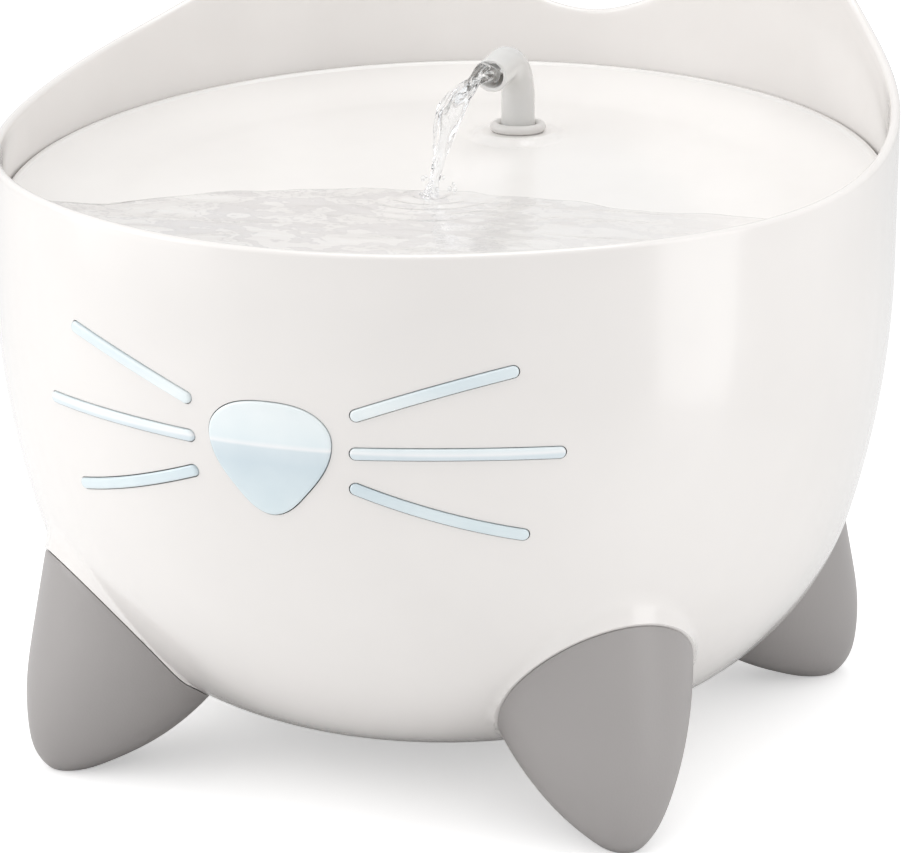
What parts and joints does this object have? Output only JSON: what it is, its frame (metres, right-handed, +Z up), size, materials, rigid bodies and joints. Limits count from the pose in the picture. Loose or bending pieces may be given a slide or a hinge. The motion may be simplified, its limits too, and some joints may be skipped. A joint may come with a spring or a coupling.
{
  "type": "pet water fountain",
  "caption": "Round footed pet water fountain with an eared rim, a tilted lift-out dish, a bent spout, face windows and a pump in a filter housing inside.",
  "frame": {"origin": "on the ground, under the centre of the bowl", "axes": "+Z up, the face looks towards -Y, +X to the viewer's right when facing the object's face"},
  "size_m": [0.242, 0.2426, 0.21],
  "materials": {
    "white_body": "glossy white moulded plastic",
    "white_dish": "glossy white moulded plastic",
    "grey_feet": "soft satin warm grey",
    "window_blue": "pale blue translucent plastic",
    "spout_white": "glossy white moulded plastic",
    "grommet_grey": "light grey soft rubber",
    "riser_clear": "clear tube",
    "seal_rubber": "black rubber",
    "housing_smoke": "smoke grey plastic",
    "pump_black": "black moulded plastic",
    "dial_blue": "blue moulded plastic",
    "impeller_white": "white moulded plastic",
    "magnet_ferrite": "dark ferrite",
    "shaft_ceramic": "white ceramic",
    "core_steel": "laminated steel",
    "coil_copper": "enamelled copper",
    "cup_rubber": "dark grey rubber",
    "screw_steel": "bright steel",
    "filter_foam": "open cell foam",
    "filter_carbon": "carbon granules in a fibre pad",
    "lead_black": "black cable sheath",
    "inlet_black": "black moulded plastic"
  },
  "bodies": {
    "bowl": {"reservoir": "white_body", "foot_screws": "screw_steel", "nose_window": "window_blue", "pump_lead": "lead_black", "outlet_seal": "seal_rubber", "pump_tray": "housing_smoke", "suction_cups": "cup_rubber", "filter_housing": "housing_smoke", "pump_housing": "pump_black", "pump_end_cap": "pump_black", "stator_core": "core_steel", "stator_coil": "coil_copper", "rotor_shaft": "shaft_ceramic", "rear_bush": "seal_rubber", "front_bush": "seal_rubber", "pump_cover": "pump_black", "power_inlet": "inlet_black", "inlet_seal": "seal_rubber", "inlet_nut": "inlet_black", "foot_front_left": "grey_feet", "foot_front_right": "grey_feet", "foot_rear_left": "grey_feet", "foot_rear_right": "grey_feet", "whisker_left_upper": "window_blue", "whisker_left_middle": "window_blue", "whisker_left_lower": "window_blue", "whisker_right_upper": "window_blue", "whisker_right_middle": "window_blue", "whisker_right_lower": "window_blue"},
    "dish": {"drinking_dish": "white_dish", "spout_grommet": "grommet_grey", "riser_tube": "riser_clear"},
    "spout": {"spout": "spout_white"},
    "rotor": {"rotor_magnet": "magnet_ferrite", "impeller": "impeller_white"},
    "dial": {"flow_dial": "dial_blue"},
    "lid": {"filter_lid": "housing_smoke"},
    "cartridge": {"cartridge_frame": "impeller_white", "filter_foam": "filter_foam", "filter_carbon": "filter_carbon"}
  },
  "joints": [
    {"name": "dish_lift", "type": "slide", "parent": "bowl", "child": "dish", "axis": [0, 0, 1], "range_m": [0, 0.16]},
    {"name": "spout_lift", "type": "slide", "parent": "dish", "child": "spout", "axis": [0, 0, 1], "range_m": [0, 0.04]},
    {"name": "rotor_spin", "type": "hinge", "parent": "bowl", "child": "rotor", "pos_m": [0, 0.05, 0.048], "axis": [0, 1, 0], "continuous": true},
    {"name": "flow_dial_turn", "type": "hinge", "parent": "bowl", "child": "dial", "pos_m": [0, 0.067, 0.048], "axis": [0, 1, 0], "range_deg": [0, 60]},
    {"name": "lid_lift", "type": "slide", "parent": "bowl", "child": "lid", "axis": [0, 0, 1], "range_m": [0, 0.112]},
    {"name": "cartridge_lift", "type": "slide", "parent": "bowl", "child": "cartridge", "axis": [0, 0, 1], "range_m": [0, 0.08]}
  ],
  "couplings": [
    {"joint": "lid_lift", "follows": "dish_lift", "ratio": 0.7},
    {"joint": "cartridge_lift", "follows": "dish_lift", "ratio": 0.5}
  ]
}
